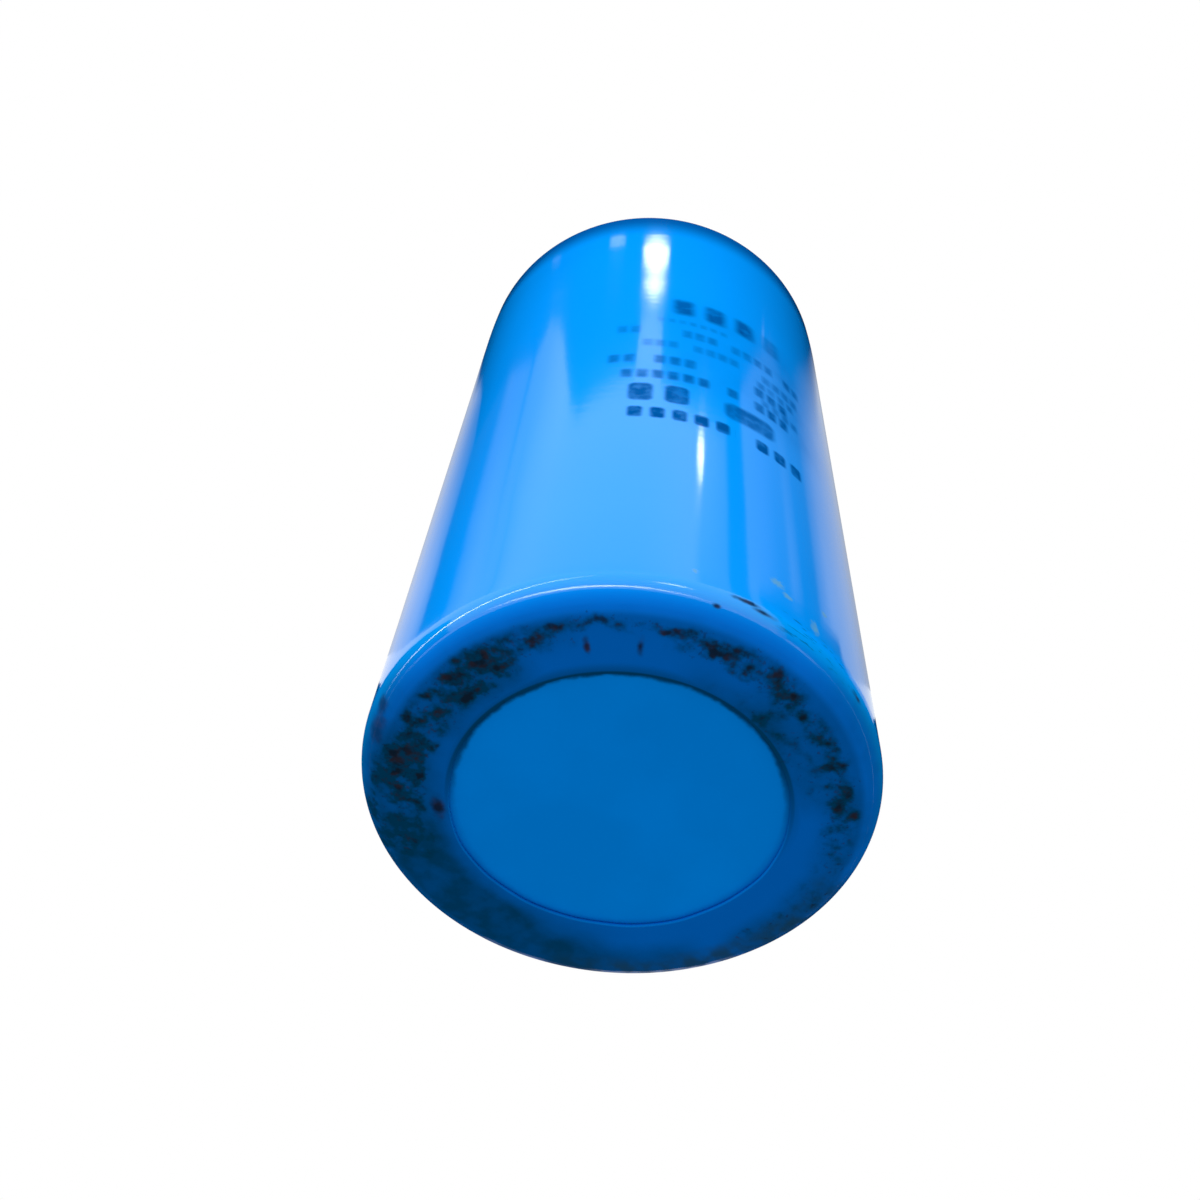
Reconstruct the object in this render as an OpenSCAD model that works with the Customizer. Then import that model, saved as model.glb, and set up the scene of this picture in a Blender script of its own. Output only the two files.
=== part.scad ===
// Motor start capacitor: a wound AC electrolytic element in a drawn aluminium
// can, closed by a moulded deck with push-on tabs and wrapped in a shrunk sleeve.
// The origin is at the centre of the base, and +Z runs up towards the tabs.

/* [Can] */
// Outside diameter of the can
can_d = 49.2; // [42:0.1:62]
// Height of the can, from its base to the top of its rolled rim
can_h = 96.5; // [70:0.5:140]
// Thickness of the can's side wall
can_wall = 0.6; // [0.4:0.05:0.8]
// Thickness of the can's base
can_base_t = 0.9; // [0.5:0.1:1.5]
// Outside radius of the corner between the base and the side wall
can_corner_r = 2.7; // [1.6:0.1:4]

/* [Bead and rim] */
// Radius of the groove at the bottom of the bead
bead_groove_r = 1.2; // [0.8:0.1:1.6]
// Outside radius of the two shoulders of the bead
bead_shoulder_r = 1.2; // [0.9:0.1:1.6]
// Width of the flat part of the ledge that carries the deck
bead_ledge_w = 0.2; // [0.1:0.1:1]
// Outside radius of the rolled rim
rim_roll_r = 1.8; // [1.3:0.1:2.4]
// Straight part of the rim, between its roll and the gasket
rim_tail_h = 0.8; // [0.3:0.1:2]

/* [Sleeve] */
// Thickness of the sleeve on the side wall
sleeve_t = 0.35; // [0.15:0.05:0.6]
// Thickness of the sleeve's lip under the base
lip_t = 0.5; // [0.3:0.05:1]
// Radius of the opening that the lip leaves under the base
lip_opening_r = 16.1; // [10:0.1:18]
// Depth to which the sleeve sinks into the bead
sleeve_dip = 0.05; // [0:0.05:0.6]
// Angle round the rolled rim at which the sleeve ends
top_lip_angle = 150; // [100:5:170]
// Thickness of the disc between the can and the lip
disc_t = 0.3; // [0.2:0.05:0.8]
// Distance from the edge of the disc to the corner of the can
disc_margin = 0.3; // [0.1:0.1:1]

/* [Deck] */
// Thickness of the deck under the gasket
deck_flange_t = 3.6; // [2.5:0.1:8]
// Height of the middle of the deck above its rebate
deck_step_h = 1.6; // [0.5:0.1:2.2]
// Thickness of the gasket
gasket_t = 2; // [1.5:0.1:4]
// Width of the gasket
gasket_w = 4; // [3.5:0.1:6]
// Height of the pad under each terminal
pad_h = 0.8; // [0.3:0.1:2]
// Distance from a terminal strip to the edge of its pad
pad_margin = 1; // [0.3:0.1:2]
// Radius of the vent plug's stem
vent_stem_r = 2; // [1:0.1:3]
// Radius of the vent plug's head
vent_head_r = 3.2; // [3.1:0.1:4]
// Thickness of the vent plug's head
vent_head_t = 1; // [0.5:0.1:2]
// Length of the vent plug's lower bead, under the deck
vent_tail_h = 1.2; // [0.5:0.1:2]
// Distance from the centre of the deck to the vent plug
vent_offset = 12; // [9:0.5:14]

/* [Terminals] */
// Distance between the two rivets
terminal_pitch = 20; // [16:0.5:24]
// Width of a push-on tab
tab_w = 6.3; // [4.8:0.1:6.3]
// Thickness of a push-on tab
tab_t = 0.8; // [0.5:0.1:1]
// Height of a tab's tip above its pad
tab_h = 10.4; // [8:0.1:14]
// Distance between the two tabs of one terminal, face to face
tab_gap = 9.4; // [9:0.1:12]
// Inside radius of the bend at the foot of each tab
tab_bend_r = 0.6; // [0.3:0.1:0.9]
// Chamfer at the tip of each tab
tab_tip_chamfer = 1; // [0.3:0.1:1.4]
// Radius of the latching hole in each tab
tab_hole_r = 0.85; // [0.5:0.05:1.2]
// Distance from the tip of a tab to its latching hole
tab_hole_drop = 4; // [3:0.1:5]
// Radius of a rivet's shank
rivet_r = 2; // [1.2:0.1:2.4]
// Radius of a rivet's outer head
rivet_head_r = 3.6; // [3:0.1:4]
// Height of a rivet's outer head
rivet_head_h = 1.6; // [0.8:0.1:2.2]
// Radius of a rivet's inner head
rivet_foot_r = 3; // [2.6:0.1:3.4]
// Height of a rivet's inner head
rivet_foot_h = 1.1; // [0.6:0.1:2]
// Outside radius of the washer under the deck
washer_r = 4; // [3.5:0.1:4.8]
// Thickness of the washer under the deck
washer_t = 0.6; // [0.3:0.1:1.2]

/* [Winding] */
// Space between the winding and the side wall
winding_gap = 0.8; // [0.5:0.1:3]
// Radius of the hole that the winding mandrel leaves
core_r = 4; // [2:0.1:4.5]
// Space between the winding and the deck, where the leads fold
lead_room = 7; // [5:0.5:14]
// Number of paper ridges that stand out of each end of the winding
ridge_count = 12; // [4:1:16]
// Height by which the paper stands out beyond the foil
ridge_h = 0.8; // [0.3:0.1:2]
// Thickness of the tape round the winding
tape_t = 0.2; // [0.1:0.05:0.4]
// Width of the tape's margin at each end of the winding
tape_margin = 6; // [2:0.5:15]
// Least thickness of the pad under the winding
base_pad_t = 0.6; // [0.3:0.1:2]
// Thickness of the insulator on top of the winding
cap_pad_t = 0.6; // [0.3:0.1:1.5]
// Width of a lead strip
lead_w = 5; // [3:0.5:6]
// Thickness of a lead strip
lead_t = 0.3; // [0.15:0.05:0.5]
// Inside radius of the bend in a lead strip
lead_bend_r = 0.6; // [0.3:0.1:1.2]
// Length of lead strip that is rolled into the winding
lead_embed = 10; // [4:1:20]

/* [Clearances] */
// Gap between curved faces that are pressed or shrunk together
shrink_gap = 0.03; // [0.01:0.01:0.1]
// Gap round a rivet, a plug, or a lead in its hole
hole_gap = 0.05; // [0.02:0.01:0.1]
// Space between an insulator and the wall round it
pad_gap = 0.5; // [0.3:0.1:1]

/* [Hidden] */
$fn = 96;

// Sides of the two poles, seen from the front
LEFT = -1;
RIGHT = 1;
// Steps in a quarter turn of a rounded outline
ARC_STEPS = 8;
// A cut runs past the faces that it opens by this much
OVERCUT = 1;

// Can
can_r = can_d / 2;
can_inner_r = can_r - can_wall;
can_z = lip_t + disc_t;
can_top_z = can_z + can_h;
can_inner_corner_r = can_corner_r - can_wall;
can_flat_r = can_r - can_corner_r;
can_floor_z = can_z + can_base_t;

// Rim, gasket and deck, from the top down
roll_centre = [can_r - rim_roll_r, can_top_z - rim_roll_r];
gasket_top_z = roll_centre[1] - rim_tail_h;
rebate_z = gasket_top_z - gasket_t;
deck_z = rebate_z - deck_flange_t;
deck_top_z = rebate_z + deck_step_h;
deck_r = can_inner_r - shrink_gap;
deck_mid_r = deck_r - gasket_w;
pad_top_z = deck_top_z + pad_h;

// Bead: its ledge is level with the underside of the deck
bead_z = deck_z - can_wall - bead_groove_r;
bead_half_w = bead_groove_r + bead_shoulder_r;
bead_depth = bead_half_w + bead_ledge_w;
groove_centre_r = can_r - bead_depth + bead_groove_r;
bead_inner_r = can_r - bead_depth - can_wall;
deck_chamfer = bead_shoulder_r - can_wall + shrink_gap;

// Sleeve
sleeve_inner_r = can_r + shrink_gap;
sleeve_r = sleeve_inner_r + sleeve_t;
sleeve_flat_r = can_flat_r;
sleeve_corner_w = sleeve_r - sleeve_flat_r;
sleeve_corner_h = can_z + can_corner_r;
disc_r = can_flat_r - disc_margin;

// Terminals and rivets
rivet_x = terminal_pitch / 2;
strip_len = tab_gap + 2 * tab_t;
tab_bend_outer_r = tab_bend_r + tab_t;
lead_z = deck_z - lead_t;
washer_z = lead_z - washer_t;

// Winding: its pad lifts it clear of the rounded corner inside the can
corner_drop = can_inner_corner_r - winding_gap;
corner_rise = corner_drop <= 0 ? 0
    : can_inner_corner_r - sqrt(pow(can_inner_corner_r, 2) - pow(corner_drop, 2));
pad_t = max(base_pad_t, corner_rise + shrink_gap);
winding_z = can_floor_z + pad_t;
winding_top_z = deck_z - lead_room;
winding_r = can_inner_r - winding_gap;
base_pad_r = can_inner_r - can_inner_corner_r - shrink_gap;
cap_pad_r = bead_inner_r - pad_gap;
lead_reach = washer_r + lead_bend_r + lead_t + hole_gap;
lead_x = rivet_x - lead_reach + lead_t / 2;
lead_tail = washer_r;

// Points along an arc about centre c, from angle a0 to angle a1
function arc(c, r, a0, a1, steps = ARC_STEPS) =
    [for (i = [0:steps]) let (a = a0 + (a1 - a0) * i / steps) c + r * [cos(a), sin(a)]];

// Points along a quarter of an ellipse about centre c, from its lowest point outwards
function corner_curve(c, rx, ry, steps = ARC_STEPS) =
    [for (i = [0:steps]) let (a = 270 + 90 * i / steps) c + [rx * cos(a), ry * sin(a)]];

// Points up a wall of radius r that sinks by depth over the width of the bead
function dipped_wall(r, depth, steps = 2 * ARC_STEPS) =
    [for (i = [0:steps])
        [r - depth * (1 - cos(360 * i / steps)) / 2, bead_z + bead_half_w * (2 * i / steps - 1)]];

// A list back to front
function reversed(points) = [for (i = [len(points) - 1:-1:0]) points[i]];

// Corners of a rectangle w by l with rounded corners, centred on the origin
function rounded_rectangle(w, l, r) = concat(
    arc([w / 2 - r, l / 2 - r], r, 0, 90),
    arc([r - w / 2, l / 2 - r], r, 90, 180),
    arc([r - w / 2, r - l / 2], r, 180, 270),
    arc([w / 2 - r, r - l / 2], r, 270, 360)
);

// A washer or disc from z up, with an optional hole
module ring(r, hole_r, z, t) {
    translate([0, 0, z]) difference() {
        cylinder(r = r, h = t);
        if (hole_r > 0) translate([0, 0, -OVERCUT]) cylinder(r = hole_r, h = t + 2 * OVERCUT);
    }
}

// Heat-shrunk tube, turned under the base and over the rolled rim
module sleeve() {
    lip_end = arc([lip_opening_r + lip_t / 2, lip_t / 2], lip_t / 2, 90, 270);
    outside = concat(
        corner_curve([sleeve_flat_r, sleeve_corner_h], sleeve_corner_w, sleeve_corner_h),
        dipped_wall(sleeve_r, sleeve_dip),
        arc(roll_centre, rim_roll_r + shrink_gap + sleeve_t, 0, top_lip_angle, 2 * ARC_STEPS)
    );
    inside = concat(
        [[disc_r + shrink_gap, lip_t], [disc_r + shrink_gap, can_z - shrink_gap]],
        arc([can_flat_r, can_z + can_corner_r], can_corner_r + shrink_gap, 270, 360),
        dipped_wall(sleeve_inner_r, sleeve_dip),
        arc(roll_centre, rim_roll_r + shrink_gap, 0, top_lip_angle, 2 * ARC_STEPS)
    );
    color("dodgerblue") rotate_extrude() polygon(concat(lip_end, outside, reversed(inside)));
}

// Plain disc between the base of the can and the lip of the sleeve
module base_disc() {
    color("steelblue") ring(disc_r, 0, lip_t, disc_t);
}

// Drawn cup, with a bead rolled into it under the deck and its rim rolled over the gasket
module can() {
    outside = concat(
        [[0, can_z]],
        arc([can_flat_r, can_z + can_corner_r], can_corner_r, 270, 360),
        arc([can_r - bead_shoulder_r, bead_z - bead_half_w], bead_shoulder_r, 0, 90),
        arc([groove_centre_r, bead_z], bead_groove_r, 270, 90, 2 * ARC_STEPS),
        arc([can_r - bead_shoulder_r, bead_z + bead_half_w], bead_shoulder_r, 270, 360),
        arc(roll_centre, rim_roll_r, 0, 180, 2 * ARC_STEPS),
        [[can_r - 2 * rim_roll_r, gasket_top_z]]
    );
    inner_shoulder_r = bead_shoulder_r - can_wall;
    inside = concat(
        [[0, can_floor_z]],
        arc([can_inner_r - can_inner_corner_r, can_floor_z + can_inner_corner_r],
            can_inner_corner_r, 270, 360),
        arc([can_inner_r - inner_shoulder_r, bead_z - bead_half_w], inner_shoulder_r, 0, 90),
        arc([groove_centre_r, bead_z], bead_groove_r + can_wall, 270, 90, 2 * ARC_STEPS),
        arc([can_inner_r - inner_shoulder_r, bead_z + bead_half_w], inner_shoulder_r, 270, 360),
        arc(roll_centre, rim_roll_r - can_wall, 0, 180, 2 * ARC_STEPS),
        [[can_r - 2 * rim_roll_r + can_wall, gasket_top_z]]
    );
    color("silver") rotate_extrude() polygon(concat(outside, reversed(inside)));
}

// Fibre pad that the winding stands on
module base_pad() {
    color("burlywood") ring(base_pad_r, 0, can_floor_z, pad_t);
}

// Slot in the winding or in the cap pad for one lead strip
module lead_slot(side, z, h, gap) {
    translate([side * lead_x, 0, z + h / 2])
        cube([lead_t + 2 * gap, lead_w + 2 * gap, h], center = true);
}

// Foil and soaked paper rolled together, with the paper standing out at both ends
module winding() {
    pitch = (winding_r - core_r) / ridge_count;
    function crest(i, z, away) = [
        [core_r + pitch * i, z],
        [core_r + pitch * (i + 0.5), z],
        [core_r + pitch * (i + 0.5), z + away * ridge_h],
        [core_r + pitch * (i + 1), z + away * ridge_h]
    ];
    low_end = [for (i = [0:ridge_count - 1]) each crest(i, winding_z, 1)];
    high_end = [for (i = [0:ridge_count - 1]) each crest(i, winding_top_z, -1)];
    color("peru") difference() {
        rotate_extrude() polygon(concat(low_end, reversed(high_end)));
        for (side = [LEFT, RIGHT])
            lead_slot(side, winding_top_z - lead_embed - hole_gap,
                      lead_embed + hole_gap + OVERCUT, hole_gap);
    }
}

// Tape that holds the last turn of the winding
module winding_tape() {
    inner_r = winding_r + shrink_gap;
    color("khaki") ring(inner_r + tape_t, inner_r, winding_z + tape_margin,
                        winding_top_z - winding_z - 2 * tape_margin);
}

// Insulator on top of the winding, with a slot for each lead
module cap_pad() {
    color("wheat") difference() {
        ring(cap_pad_r, core_r, winding_top_z, cap_pad_t);
        for (side = [LEFT, RIGHT])
            lead_slot(side, winding_top_z - OVERCUT, cap_pad_t + 2 * OVERCUT, pad_gap);
    }
}

// Foil strip out of the winding, folded over and held under the deck by the rivet
module lead(side) {
    bend = [lead_bend_r + lead_t, deck_z - lead_bend_r - lead_t];
    foot_z = winding_top_z - lead_embed;
    strip = concat(
        [[0, foot_z]],
        arc(bend, lead_bend_r + lead_t, 180, 90),
        [[lead_reach + lead_tail, deck_z], [lead_reach + lead_tail, lead_z]],
        arc(bend, lead_bend_r, 90, 180),
        [[lead_t, foot_z]]
    );
    color("gainsboro") difference() {
        translate([side * (rivet_x - lead_reach), 0, 0])
            mirror([side == LEFT ? 1 : 0, 0, 0])
                rotate([90, 0, 0]) linear_extrude(height = lead_w, center = true) polygon(strip);
        translate([side * rivet_x, 0, lead_z - OVERCUT])
            cylinder(r = rivet_r + hole_gap, h = lead_t + 2 * OVERCUT);
    }
}

// Moulded deck: a thick disc with a rebate for the gasket and a pad for each terminal
module deck() {
    outline = [
        [0, deck_z], [deck_r - deck_chamfer, deck_z], [deck_r, deck_z + deck_chamfer],
        [deck_r, rebate_z], [deck_mid_r, rebate_z], [deck_mid_r, deck_top_z], [0, deck_top_z]
    ];
    color("saddlebrown") difference() {
        union() {
            rotate_extrude() polygon(outline);
            for (side = [LEFT, RIGHT])
                translate([side * rivet_x, 0, rebate_z]) linear_extrude(height = pad_top_z - rebate_z)
                    polygon(rounded_rectangle(tab_w + 2 * pad_margin, strip_len + 2 * pad_margin,
                                              pad_margin));
        }
        for (side = [LEFT, RIGHT])
            translate([side * rivet_x, 0, deck_z - OVERCUT])
                cylinder(r = rivet_r + hole_gap, h = pad_top_z - deck_z + 2 * OVERCUT);
        translate([0, vent_offset, deck_z - OVERCUT])
            cylinder(r = vent_stem_r + hole_gap, h = deck_top_z - deck_z + 2 * OVERCUT);
    }
}

// Rubber ring that the rolled rim presses on to the deck
module gasket() {
    color("dimgray") ring(deck_r, deck_mid_r + shrink_gap, rebate_z, gasket_t);
}

// Rubber plug that blows out of the deck if the can comes under pressure
module vent_plug() {
    bulge_r = (vent_stem_r + vent_head_r) / 2;
    outline = [
        [0, deck_z - vent_tail_h], [vent_stem_r, deck_z - vent_tail_h], [bulge_r, deck_z],
        [vent_stem_r, deck_z], [vent_stem_r, deck_top_z], [vent_head_r, deck_top_z],
        [vent_head_r, deck_top_z + vent_head_t / 2],
        [vent_stem_r, deck_top_z + vent_head_t], [0, deck_top_z + vent_head_t]
    ];
    color("black") translate([0, vent_offset, 0]) rotate_extrude() polygon(outline);
}

// Washer between a lead strip and the inner head of its rivet
module inner_washer(side) {
    color("lightsteelblue") translate([side * rivet_x, 0, 0])
        ring(washer_r, rivet_r + hole_gap, washer_z, washer_t);
}

// Rivet through the terminal, the deck, the lead and the washer
module rivet(side) {
    head_z = pad_top_z + tab_t;
    outline = [
        [0, washer_z - rivet_foot_h], [rivet_foot_r - rivet_foot_h / 2, washer_z - rivet_foot_h],
        [rivet_foot_r, washer_z - rivet_foot_h / 2], [rivet_foot_r, washer_z],
        [rivet_r, washer_z], [rivet_r, head_z], [rivet_head_r, head_z],
        [rivet_head_r, head_z + rivet_head_h / 3],
        [rivet_head_r * 0.8, head_z + rivet_head_h * 0.8],
        [rivet_head_r * 0.4, head_z + rivet_head_h], [0, head_z + rivet_head_h]
    ];
    color("whitesmoke") translate([side * rivet_x, 0, 0]) rotate_extrude() polygon(outline);
}

// Strip bent up at both ends into two push-on tabs
module terminal(side) {
    half = strip_len / 2;
    bend_y = half - tab_bend_outer_r;
    outside = concat(
        arc([-bend_y, tab_bend_outer_r], tab_bend_outer_r, 180, 270),
        arc([bend_y, tab_bend_outer_r], tab_bend_outer_r, 270, 360)
    );
    inside = concat(
        arc([bend_y, tab_bend_outer_r], tab_bend_r, 360, 270),
        arc([-bend_y, tab_bend_outer_r], tab_bend_r, 270, 180)
    );
    bent_strip = concat(
        [[-half, tab_h]], outside, [[half, tab_h], [half - tab_t, tab_h]], inside,
        [[tab_t - half, tab_h]]
    );
    tip = tab_w / 2 - tab_tip_chamfer;
    face = [
        [-tab_w / 2, 0], [tab_w / 2, 0], [tab_w / 2, tab_h - tab_tip_chamfer], [tip, tab_h],
        [-tip, tab_h], [-tab_w / 2, tab_h - tab_tip_chamfer]
    ];
    color("gold") translate([side * rivet_x, 0, pad_top_z]) difference() {
        intersection() {
            rotate([90, 0, 90]) linear_extrude(height = tab_w, center = true) polygon(bent_strip);
            rotate([90, 0, 0]) linear_extrude(height = strip_len + 2 * OVERCUT, center = true)
                polygon(face);
        }
        translate([0, 0, -OVERCUT]) cylinder(r = rivet_r + hole_gap, h = tab_t + 2 * OVERCUT);
        translate([0, 0, tab_h - tab_hole_drop]) rotate([90, 0, 0])
            cylinder(r = tab_hole_r, h = strip_len + 2 * OVERCUT, center = true);
    }
}

sleeve();
base_disc();
can();
base_pad();
winding();
winding_tape();
cap_pad();
lead(LEFT);  // lead_left
lead(RIGHT);  // lead_right
deck();
gasket();
vent_plug();
inner_washer(LEFT);  // inner_washer_left
inner_washer(RIGHT);  // inner_washer_right
rivet(LEFT);  // rivet_left
rivet(RIGHT);  // rivet_right
terminal(LEFT);  // terminal_left
terminal(RIGHT);  // terminal_right
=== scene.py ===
"""Dresses the motor start capacitor in its film, metal and rubber, and stands it in a studio."""

import logging
import math
from dataclasses import dataclass, field
from enum import Enum
from functools import reduce
from typing import Sequence, Union

import bmesh
import bpy
import numpy as np
from mathutils import Matrix, Vector


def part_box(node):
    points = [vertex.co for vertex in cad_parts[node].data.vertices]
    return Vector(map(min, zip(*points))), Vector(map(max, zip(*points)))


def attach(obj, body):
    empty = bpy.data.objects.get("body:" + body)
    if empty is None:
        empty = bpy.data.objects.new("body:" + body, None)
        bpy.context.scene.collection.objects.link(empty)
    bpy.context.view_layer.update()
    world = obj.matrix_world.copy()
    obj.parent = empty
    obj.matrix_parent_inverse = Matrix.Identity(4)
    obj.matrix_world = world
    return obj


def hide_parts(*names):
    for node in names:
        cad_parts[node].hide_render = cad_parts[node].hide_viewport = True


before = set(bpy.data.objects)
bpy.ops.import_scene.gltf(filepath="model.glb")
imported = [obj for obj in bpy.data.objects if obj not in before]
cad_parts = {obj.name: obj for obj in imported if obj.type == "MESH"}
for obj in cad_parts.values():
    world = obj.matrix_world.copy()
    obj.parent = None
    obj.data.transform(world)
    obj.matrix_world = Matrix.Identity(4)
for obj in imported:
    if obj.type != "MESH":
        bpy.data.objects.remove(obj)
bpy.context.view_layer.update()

LOG = logging.getLogger("capacitor")
MM = 0.001
FULL_TURN = 2.0 * math.pi
WHITE = (1.0, 1.0, 1.0, 1.0)
Colour = tuple[float, float, float]
Value = Union["Signal", float]
Tint = Union["Signal", Colour]
Numbers = Union[np.ndarray, float]
Owner = Union[bpy.types.Material, bpy.types.World]
Waves = tuple[tuple[int, float, float], ...]

# How far in from the can's wall, and down from its top, the middle of the rolled rim lies, in mm.
RIM_ROLL_R = 1.8

# The printed side faces -Y. The camera stands at this heading from it, in degrees to the right, and the
# dirt under the base is placed from the same heading.
HEADING = -23.0


class Pole(Enum):
    """The two poles, by the side of the deck that each stands on."""

    LEFT = -1
    RIGHT = 1

    @property
    def word(self) -> str:
        """The pole's name as the frame's nodes spell it."""
        return self.name.lower()


class Grain(Enum):
    """Which way the drawing or rolling marks of a metal run."""

    ALONG_Z = (1.0, 1.0, 0.04)
    ALONG_Y = (1.0, 0.05, 1.0)
    ROUND = (1.0, 1.0, 1.0)


# Shader maths


class Signal:
    """One output socket that can stand in a Python expression."""

    def __init__(self, shader: "Shader", socket: bpy.types.NodeSocket) -> None:
        """Keeps the socket and the shader that its expressions add nodes to."""
        self.shader = shader
        self.socket = socket

    def math(self, operation: str, *others: Value) -> "Signal":
        """Adds a Math node of that operation, whose inputs are this socket and the others."""
        inputs = dict(enumerate((self, *others)))
        return self.shader.node("ShaderNodeMath", {"operation": operation}, inputs)

    def __add__(self, other: Value) -> "Signal":
        """Sum."""
        return self.math("ADD", other)

    __radd__ = __add__

    def __sub__(self, other: Value) -> "Signal":
        """Difference."""
        return self.math("SUBTRACT", other)

    def __rsub__(self, other: float) -> "Signal":
        """A number less this value."""
        return self.shader.node("ShaderNodeMath", {"operation": "SUBTRACT"}, {0: other, 1: self})

    def __mul__(self, other: Value) -> "Signal":
        """Product."""
        return self.math("MULTIPLY", other)

    __rmul__ = __mul__

    def __neg__(self) -> "Signal":
        """The value with its sign changed."""
        return self.math("MULTIPLY", -1.0)

    def __abs__(self) -> "Signal":
        """The value without its sign."""
        return self.math("ABSOLUTE")

    def least(self, other: Value) -> "Signal":
        """The smaller of two values."""
        return self.math("MINIMUM", other)

    def most(self, *others: Value) -> "Signal":
        """The largest of the values."""
        return reduce(lambda first, second: first.math("MAXIMUM", second), others, self)

    def rise(self, low: float, high: float) -> "Signal":
        """Smooth step: 0 up to low, 1 from high, and 3t^2 - 2t^3 between them."""
        settings = {"interpolation_type": "SMOOTHSTEP"}
        return self.shader.node("ShaderNodeMapRange", settings, {0: self, 1: low, 2: high})

    def fall(self, low: float, high: float) -> "Signal":
        """The reverse of rise: 1 up to low and 0 from high."""
        return 1.0 - self.rise(low, high)

    def band(self, low: float, high: float, soft: float) -> "Signal":
        """1 between low and high, with edges that are soft on both sides."""
        return self.rise(low - soft, low + soft) * self.fall(high - soft, high + soft)

    def facing(self, degrees: float) -> "Signal":
        """Cosine of the angle between this heading, in radians, and another in degrees."""
        return (self - math.radians(degrees)).math("COSINE")


def length(first: Signal, *others: Signal) -> Signal:
    """Length of the vector whose parts are given: the square root of the sum of their squares."""
    return sum((part * part for part in others), first * first).math("SQRT")


def shade(colour: Colour, share: float) -> Colour:
    """A colour times share."""
    return tuple(share * part for part in colour)


class Shader:
    """The node tree of a material or a world, under construction."""

    def __init__(self, owner: Owner) -> None:
        """Empties the owner's tree.

        Args:
            owner: The material or world.
        """
        self.owner = owner
        owner.use_nodes = True
        self.tree = owner.node_tree
        self.tree.nodes.clear()

    @classmethod
    def of(cls, name: str) -> "Shader":
        """The tree of a new material of that name."""
        return cls(bpy.data.materials.new(name))

    def node(self, kind: str, settings: "dict | None" = None, inputs: "dict | None" = None,
             output: "int | str" = 0) -> Signal:
        """Adds any node.

        Args:
            kind: The node's type.
            settings: Its own properties, set first.
            inputs: Values or signals for its sockets, by index or name.
            output: The socket that the result reads.

        Returns:
            That output.
        """
        made = self.tree.nodes.new(kind)
        for name, value in (settings or {}).items():
            setattr(made, name, value)
        for key, value in (inputs or {}).items():
            if isinstance(value, Signal):
                self.tree.links.new(value.socket, made.inputs[key])
            else:
                made.inputs[key].default_value = value
        return Signal(self, made.outputs[output] if made.outputs else None)

    def place(self, stretch: Sequence[float] = (1.0, 1.0, 1.0)) -> Signal:
        """The object coordinates in millimetres, each axis times its share of stretch."""
        inputs = {0: self.node("ShaderNodeTexCoord", output="Object"), 1: shade(stretch, 1 / MM)}
        return self.node("ShaderNodeVectorMath", {"operation": "MULTIPLY"}, inputs)

    def axes(self) -> tuple[Signal, Signal, Signal]:
        """The three object coordinates in millimetres."""
        split = self.node("ShaderNodeSeparateXYZ", inputs={0: self.place()})
        return tuple(Signal(self, socket) for socket in split.socket.node.outputs)

    def noise(self, per_mm: float, detail: float = 2.0, stretch: Sequence[float] = (1.0, 1.0, 1.0),
              shift: float = 0.0) -> Signal:
        """Fractal noise from 0 to 1.

        Args:
            per_mm: Features to a millimetre.
            detail: Number of finer layers.
            stretch: How dense the pattern is along each axis.
            shift: Moves the pattern, so that two noises of one scale differ.

        Returns:
            The noise's value.
        """
        inputs = {0: self.place(stretch), 1: (shift,) * 3}
        moved = self.node("ShaderNodeVectorMath", {"operation": "ADD"}, inputs)
        return self.node("ShaderNodeTexNoise", inputs={"Vector": moved, "Scale": per_mm, "Detail": detail})

    def mix(self, share: Value, first: Tint, second: Tint) -> Signal:
        """Blends two colours: first where share is 0, second where it is 1."""
        ends = [c if isinstance(c, Signal) else (*c, 1.0) for c in (first, second)]
        return self.node("ShaderNodeMix", {"data_type": "RGBA"}, {0: share, 6: ends[0], 7: ends[1]}, 2)

    def coats(self, colour: Tint, *coats: tuple[Value, Tint]) -> Signal:
        """Lays coats over a colour in their order, each a (share, colour) pair."""
        return reduce(lambda under, coat: self.mix(coat[0], under, coat[1]), coats, colour)

    def bump(self, height: Signal, distance_mm: float, under: "Signal | None" = None) -> Signal:
        """Bends a normal by a height field.

        Args:
            height: The field, from 0 to 1.
            distance_mm: Height that its full range stands for.
            under: The normal to bend, or None for the surface's own.

        Returns:
            The bent normal.
        """
        inputs = {"Height": height, "Distance": distance_mm * MM, "Strength": 1.0}
        if under is not None:
            inputs["Normal"] = under
        return self.node("ShaderNodeBump", inputs=inputs)

    def surface(self, **sockets: Value) -> Signal:
        """Adds a Principled BSDF, whose sockets are named with underscores for spaces."""
        inputs = {name.replace("_", " "): value for name, value in sockets.items()}
        return self.node("ShaderNodeBsdfPrincipled", inputs=inputs)

    def blend(self, share: Signal, first: Signal, second: Signal) -> Signal:
        """Mixes two surfaces: first where share is 0, second where it is 1."""
        return self.node("ShaderNodeMixShader", inputs={0: share, 1: first, 2: second})

    def done(self, surface: Signal) -> Owner:
        """Gives the owner that surface and returns it."""
        self.node("ShaderNodeOutput" + type(self.owner).__name__, inputs={0: surface})
        return self.owner


# Finishes


@dataclass(frozen=True)
class Word:
    """A run of equal blocks on one line of the print.

    Attributes:
        start: Where the run starts, from the line's left end, in mm.
        count: Number of blocks.
    """

    start: float
    count: int


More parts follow.
